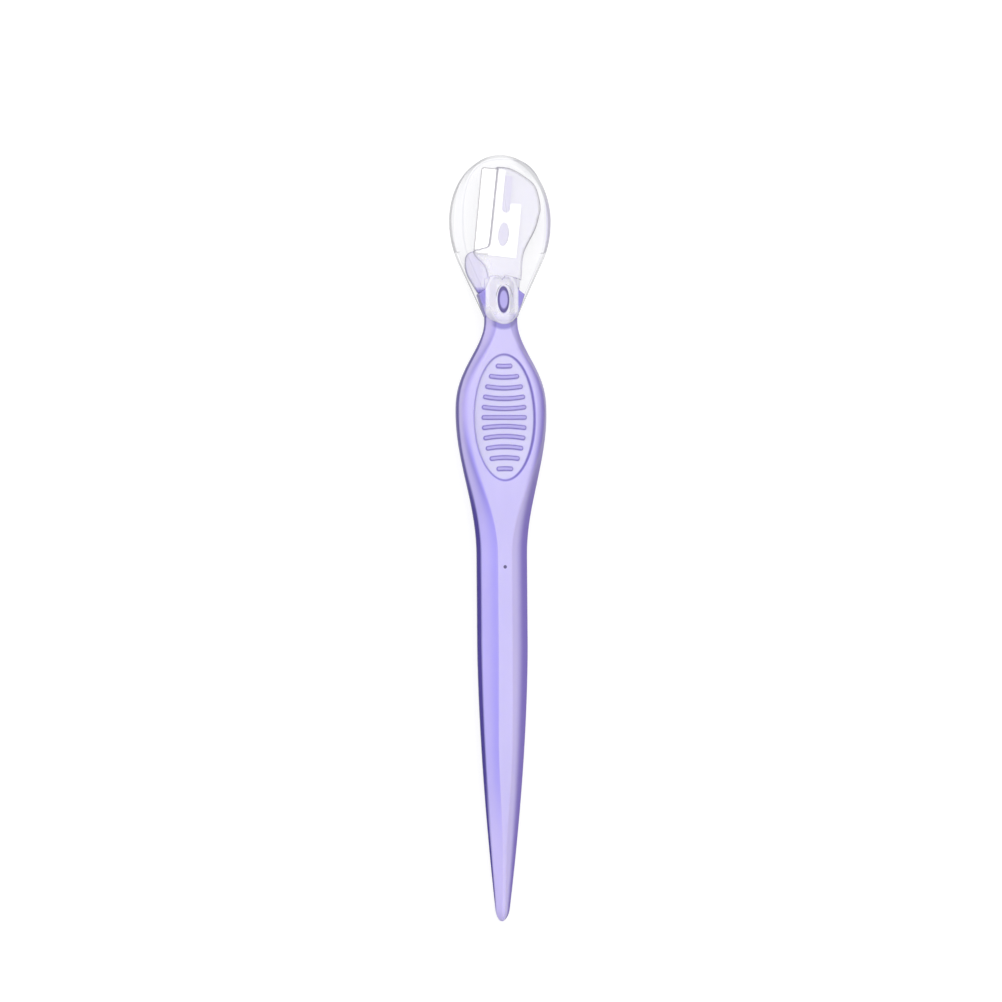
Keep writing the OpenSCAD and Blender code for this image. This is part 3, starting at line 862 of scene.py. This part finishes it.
def barMarks(x, s):  # painted light on parts of the facets, and painted shade along the outer edges
    if s > neckS + 1:
        return 0.0, 0.0, 0.0
    w, f = halfWidth(s), halfFlat(s)
    u, inner = clamp((abs(x) - f) / (w - f)), w - abs(x)
    low, high = markRange["stem"]
    stem, slim = 1 - ease((s - low) / (high - low)), min(1.0, 2 * w / shaft["width"])
    narrow = ease((s - gripS - markRange["narrow"]) / markRange["narrowing"])
    # on the right: painted light beside the flat and painted shade growing towards the edge
    if x > 0:
        depth = (mix(*markTone["right"], narrow) - inner / slim) / markTone["rightFade"]
        share = mix(mix(*markTone["rightShare"], narrow), 1, stem)
        return ease((abs(x) - f + 0.2) / 0.2) * (1 - narrow), 0.0, ease(depth) * share
    # on the left: painted light on the facet and a painted shade line along the edge
    high, low = markRange["slimTail"]
    facet = mix(*markTone["facet"], stem) * ease((u - 0.1) / 0.5)
    pale = mix(facet, markTone["tailFacet"], ease((high - s) / (high - low)))
    line = ease((mix(*markTone["line"], stem) * slim - inner) / mix(*markTone["lineFade"], stem))
    return pale, line * ease(s / markRange["tip"]) * mix(markTone["lineShare"], 1, stem), 0.0


def markHandle(mesh):
    rows = []
    for v in mesh.vertices:
        x, s, z = v.co.x / mm, v.co.y / mm + halfL, v.co.z / mm
        onPad = padMarks(x, s, z) if padLow - 1 < s < padTop + 1 else (0.0, 0.0, 0.0)
        rows.append((*onPad, *barMarks(x, s)))
    for name, values in zip(handleMarks, zip(*rows)):
        mesh.attributes.new(name, "FLOAT", "POINT").data.foreach_set("value", values)


markHandle(handlePiece.data)

# blade retainer: a thin plate over the blade's back and heel, up to the step
retainerLook = {
    "flat": (0.98, 0.97, 1.0), "bevel": (0.44, 0.43, 0.48), "side": (0.5, 0.49, 0.55),
    "clouding": 0.02, "roughness": 0.4, "wear": 0.02, "grain": 0.1, "grainDepth": 0.002,
    "milk": 0.0, "alpha": 0.25, "edgeAlpha": 0.9, "shine": 0.4, "bend": 1.5,
}
retainerZones = {"foot": {"bevel": (0.74, 0.72, 0.86), "side": (0.6, 0.58, 0.72),
                          "where": {"upTo": (131.5, 130.0)}}}


def makeRetainer():
    plate = slab("retainerPlate", headOutline(ridgeShares), retainerZ,
                 retainerZ + retainer["thick"], *retainer["round"])
    reach = slab("reach", stepOutline(razor["seatGap"]), retainerZ - 1,
                 retainerZ + neck["thick"], spacing=0)
    return carved(plate, [(reach, "INTERSECT")])


retainerPlastic = tintedPlastic("paleRetainerPlastic", retainerLook, retainerZones)
finished(makeRetainer(), retainerPlastic, "blade_retainer", "razor")

# blade: a leaning strip of ground steel
bladeLook = {
    "color": (0.93, 0.925, 0.915), "bright": (0.98, 0.975, 0.965), "line": (0.58, 0.57, 0.58),
    "roughness": (0.25, 0.37), "edgeRoughness": 0.16, "edgeFade": 0.06, "lines": 0.1,
    "lineDepth": 0.01, "lineScale": 600, "lineStretch": (0.15, 12, 1), "cloudScale": 260,
    "outline": (-0.42, -0.18), "outlineFade": 0.2,
}


def bladeOutline(tree, inBlade, acrossX):  # 1 in a thin line along the bare strip's outline
    w, l, r = blade["width"] / 2, blade["length"] / 2, blade["corner"]
    away = vectorCalc(tree, "SUBTRACT", inBlade, (w * mm, -l * mm, 0))
    away = vectorCalc(tree, "ABSOLUTE", away)
    away = vectorCalc(tree, "SUBTRACT", away, ((w - r) * mm, (l - r) * mm, 0))
    away = vectorCalc(tree, "MAXIMUM", away, (0, 0, 0))
    away = vectorCalc(tree, "MULTIPLY", away, (1, 1, 0))
    low, high = bladeLook["outline"]
    strip, fade = blade["strip"], bladeLook["outlineFade"]
    bare = spread(tree, acrossX, 1, 0, strip * mm, (strip + fade) * mm)
    return product(tree, [bare, spread(tree, vectorCalc(tree, "LENGTH", away), 0, 1,
                                       (low + r) * mm, (high + r) * mm)])


def bladeSteel():
    material, tree, shader = newMaterial("bladeSteel", bladeLook["color"])
    top = (edgeTopX * mm, (headS + headL - halfL) * mm, 0)
    inBlade = place(tree, "ShaderNodeMapping", {  # its x is square to the cutting edge
        "Location": top, "Rotation": (0, 0, -lean), "Vector": coordinates(tree, "Object"),
    }, vector_type="TEXTURE").outputs["Vector"]
    acrossX = axes(tree, inBlade)["X"]
    line = bladeOutline(tree, inBlade, acrossX)
    lines = noiseAt(tree, inBlade, bladeLook["lineScale"], 6, bladeLook["lineStretch"])
    clouds = noiseAt(tree, inBlade, bladeLook["cloudScale"], 3)
    steel = blended(tree, spread(tree, lines, 0, 1, *noiseRange), bladeLook["color"],
                    bladeLook["bright"])
    ground = spread(tree, acrossX, 1, 0, (blade["ground"] - bladeLook["edgeFade"]) * mm,
                    blade["ground"] * mm)
    clouded = spread(tree, clouds, *bladeLook["roughness"], *noiseRange)
    bump = place(tree, "ShaderNodeBump", {
        "Strength": bladeLook["lines"], "Distance": bladeLook["lineDepth"] * mm, "Height": lines})
    fed(tree, shader, {
        "Base Color": blended(tree, line, steel, bladeLook["line"]),
        "Metallic": spread(tree, line, 1, 0),
        "Roughness": blended(tree, ground, clouded, bladeLook["edgeRoughness"], "FLOAT"),
        "Normal": bump.outputs["Normal"]})
    arranged(tree)
    return material


def makeBlade():
    r, w, l, t = blade["corner"], blade["width"], blade["length"], blade["thick"]
    corner = [[r - r * cos(a), r - r * sin(a)] for a in
              [pi / 2 * i / 8 for i in range(9)]]
    outline = corner + [[w, 0], [w, l]] + [[x, l - y] for x, y in corner[::-1]]
    strip = slab("bladeStrip", [onBlade(*p) for p in outline], bladeZ + hair,
                 retainerZ - hair, spacing=0)  # kept off the plate's and the retainer's faces
    cuts = []
    rise, past = t / 2 / blade["ground"], blade["ground"] * 1.4
    for side in (1, -1):  # the two ground faces of the cutting edge
        line = [(-1, -rise), (past, past * rise), (-1, 3 * t)]
        cuts.append(ringsSolid("grind", [[(*onBlade(x, y), bladeZ + t / 2 + side * z)
                                          for x, z in line] for y in (-1, l + 1)]))
    x, low = holesX, slotY + blade["slot"] * blade["cutAway"]
    off = [onBlade(x, low), onBlade(x + w, low), onBlade(x + w, low + l), onBlade(x, low + l)]
    for loop in bladeHoles(0) + [off]:
        cuts.append(slab("hole", loop, bladeZ - 1, retainerZ + 1, spacing=0))
    return carved(strip, [(cut, "DIFFERENCE") for cut in cuts])


finished(makeBlade(), bladeSteel(), "blade", "razor", crease=4)

# cap: an egg-shaped shell, open along both sides of its lower half
capLook = {
    "clear": (0.985, 0.985, 0.99), "slopes": [
        (0.0, (0.8, 0.8, 0.82)), (0.12, (0.86, 0.86, 0.88)), (0.25, (0.985, 0.985, 0.99)),
        (0.72, (0.98, 0.98, 0.985)), (0.86, (0.9, 0.895, 0.92)), (0.97, (1.0, 1.0, 1.0))],
    "steep": (0.2, 0.4), "slotEnd": (-0.97, -0.9), "middle": (0, 62, 4),
    # the lens is a painted refraction: a lavender tint on the right wall for the violet handle seen
    # through it
    "lens": (0.8, 0.77, 0.92), "lensTurn": (0.7, 0.82), "lensRim": 0.12,
    "lensWhere": {"right": (3, 5), "from": (130, 134), "upTo": (145, 140)},
    "milk": (0.96, 0.955, 0.99), "veil": 0.3, "edgeVeil": 0.65,
    "milkWhere": {"upTo": (121.5, 118.5)}, "rim": (0.12, 0.12, 0.14), "rimPower": 5.5,
    "clouding": 0.01, "roughness": 0.05, "wear": 0.02, "grain": 0.03, "grainDepth": 0.004,
    "bend": 1.35,
}
capPoints = {"oval": 720, "tongue": 240, "spacing": 0.25, "faceBend": 6, "bandBend": 5}


def capBand(inset):
    width, points = capW - 2 * inset, []
    for sign, length in ((1, cap["dome"]), (-1, (bellyS - tongueS) * cap["lowBelly"])):
        oval = ovalLoop(0, bellyS, width, 2 * (length - inset), steps=capPoints["oval"])
        points += [p for p in oval if sign * (p[1] - bellyS) >= -1e-6]
    wide, long = [share * cap["tongue"] for share in cap["bandTongue"]]
    points += ovalLoop(0, tongueS + long, wide - 2 * inset, 2 * (long - inset),
                       steps=capPoints["tongue"])
    return hullOf(points)


def capFace(inset):
    flat, tongue = capW - 2 * (cap["bevel"] + inset), cap["tongue"] - 2 * inset
    top = razor["length"] - cap["wall"] * cap["faceTop"]
    points = ovalLoop(0, bellyS, flat, 2 * (top - bellyS - inset), cap["facePower"],
                      capPoints["oval"])
    points += ovalLoop(0, tongueS + cap["tongue"] / 2, tongue, tongue, steps=capPoints["tongue"])
    return hullOf(points)


def rayTo(loop, cx, cy, angle):  # where a ray from the centre meets a convex outline
    dx, dy = cos(angle), sin(angle)
    best = 0.0
    for a, b in zip(loop, loop[1:] + loop[:1]):
        ex, ey = b[0] - a[0], b[1] - a[1]
        cross = dx * ey - dy * ex
        if abs(cross) < 1e-12:
            continue
        t = ((a[0] - cx) * ey - (a[1] - cy) * ex) / cross
        u = ((a[0] - cx) * dy - (a[1] - cy) * dx) / cross
        if t > 0 and -1e-9 <= u <= 1 + 1e-9:
            best = max(best, t)
    return cx + best * dx, cy + best * dy


def softBend(before, here, after, size, steps):
    a, b = before - here, after - here
    return bendPoints(here + a.normalized() * min(size, 0.45 * a.length), here,
                      here + b.normalized() * min(size, 0.45 * b.length), steps)


def capSolid(name, inset, softness):
    cx, cy = 0.0, bellyS - 5
    band, face = capBand(inset), capFace(inset)
    faceBend = (cap["faceRound"] * softness, capPoints["faceBend"])
    bandBend = (cap["bandRound"] * softness, capPoints["bandBend"])
    columns = []
    for x, y in evenLoop(turned(band), capPoints["spacing"]):
        angle = atan2(y - cy, x)
        outer, onFace = rayTo(band, cx, cy, angle), rayTo(face, cx, cy, angle)
        inner = (mix(cx, onFace[0], 0.7), mix(cy, onFace[1], 0.7))
        line = [Vector((*spot, z)) for spot, z in (
            (inner, inset), (onFace, inset), (outer, midZ - slotH / 2),
            (outer, midZ + slotH / 2), (onFace, capT - inset), (inner, capT - inset))]
        columns.append([tuple(p) for i, bend in enumerate((faceBend, bandBend, bandBend, faceBend))
                        for p in softBend(*line[i:i + 3], *bend)])
    return ringsSolid(name, [list(ring) for ring in zip(*columns)])


def makeCap():
    shell = capSolid("capShell", 0, 1)
    hollow = capSolid("hollow", cap["wall"], cap["innerRound"])
    gap, below, wide = razor["capGap"], tongueS - 1, 20
    section = eightCorners(neck["width"] / 2 + gap, neck["flat"] / 2 + gap,
                           capT / 2 - cap["wall"], neck["thick"] * neck["side"])
    way = ringsSolid("way", [[(x, s, midZ + z) for x, z in section] for s in (below, bellyS)])
    top = razor["length"] - cap["dome"] * cap["sidesTop"]
    sides = slab("sides", [[-wide, below], [wide, below], [wide, top], [-wide, top]],
                 midZ - slotH / 2, midZ + slotH / 2, spacing=0)
    window = slab("window", ovalLoop(0, bossS, boss["width"] + 2 * cap["window"],
                                     boss["length"] + 2 * cap["window"]),
                  midZ, midZ + capT, spacing=0)
    return carved(shell, [(tool, "DIFFERENCE") for tool in (hollow, way, sides, window)])


finished(makeCap(), clearPlastic("clearCapPlastic", capLook), "cap", "cap")
print("pieces made")

# floor, world, lamps and camera: the floor's size and the lamps are in metres

studio = {"floorSize": 2.0, "floorDrop": 0.05, "floorTone": 0.3, "floorLift": 0.8,
          "worldLight": 0.5, "horizon": 0.85, "horizonTop": 0.6}
lamps = {"keyLamp": {"at": (0.15, 0.35, 0.85), "size": 1.4, "watts": 5.2},
         "fillLamp": {"at": (-0.7, -0.1, 0.5), "size": 0.9, "watts": 2.4}}
# the camera: roll and tilt in degrees, the other sizes in millimetres, the frame in pixels
view = {"roll": 12.0, "tilt": 0.448, "pixel": 0.19557, "centre": (-0.14, 7.53), "height": 3.6,
        "lens": 100.0, "sensor": 36.0, "frame": 1002}

backdropRays = ("Camera", "Glossy", "Transmission")  # these see the background white


def makeFloor():
    size = studio["floorSize"]
    mesh = bpy.data.meshes.new("floor")
    corners = [(x * size, y * size, 0) for x, y in ((-1, -1), (1, -1), (1, 1), (-1, 1))]
    mesh.from_pydata(corners, [], [(0, 1, 2, 3)])
    floor = newObject("floor", mesh)
    floor.location.z = -studio["floorDrop"] * mm
    material, tree, shader = newMaterial("floorPaper", (0.9, 0.9, 0.9))
    fed(tree, shader, {
        "Base Color": (studio["floorTone"],) * 3, "Roughness": 0.9, "Specular IOR Level": 0.1,
        "Emission Color": (1, 1, 1),
        "Emission Strength": calc(tree, "MULTIPLY", anyRay(tree, *backdropRays),
                                  studio["floorLift"])})
    arranged(tree)
    mesh.materials.append(material)


def makeWorld():
    world = bpy.data.worlds.new("studio")
    bpy.context.scene.world = world
    world.use_nodes = True
    tree = world.node_tree
    tree.nodes.clear()
    height = axes(tree, coordinates(tree, "Generated"))["Z"]
    low = spread(tree, anyRay(tree, "Camera"), studio["horizon"], 1)
    tone = spread(tree, height, low, 1, 0, studio["horizonTop"])
    gray = place(tree, "ShaderNodeCombineColor", {"Red": tone, "Green": tone, "Blue": tone})
    sky = place(tree, "ShaderNodeBackground", {
        "Color": gray.outputs["Color"],
        "Strength": spread(tree, anyRay(tree, *backdropRays), studio["worldLight"], 1)})
    place(tree, "ShaderNodeOutputWorld", {"Surface": sky.outputs["Background"]})
    arranged(tree)


def makeLamp(name, settings):
    data = bpy.data.lights.new(name, "AREA")
    data.shape = "DISK"
    data.size = settings["size"]
    data.energy = settings["watts"]
    lamp = newObject(name, data)
    lamp.location = settings["at"]
    lamp.rotation_euler = (-Vector(settings["at"])).to_track_quat("-Z", "Y").to_euler()


def makeCamera():
    data = bpy.data.cameras.new("photoCamera")
    camera = newObject("photoCamera", data)
    roll, tilt = radians(view["roll"]), radians(view["tilt"])
    across, up = Vector((cos(roll), 0, sin(roll))), Vector((0, 1, 0))
    out = Vector((-sin(roll), 0, cos(roll)))
    right = across * cos(tilt) - up * sin(tilt)
    above = across * sin(tilt) + up * cos(tilt)
    data.lens, data.sensor_width = view["lens"], view["sensor"]
    distance = view["frame"] * view["pixel"] * mm * data.lens / data.sensor_width
    x, y = view["centre"]
    target = across * x * mm + up * y * mm + Vector((0, 0, view["height"] * mm))
    camera.matrix_world = Matrix.Translation(target + out * distance) @ Matrix(
        (right, above, out)).transposed().to_4x4()
    data.clip_start, data.clip_end = 0.01, 20
    bpy.context.scene.camera = camera


makeFloor()
makeWorld()
for name, settings in lamps.items():
    makeLamp(name, settings)
makeCamera()
bpy.context.scene.view_settings.view_transform = "Standard"
bpy.context.scene.cycles.transparent_max_bounces = 32  # light passes many clear walls
print("studio made")
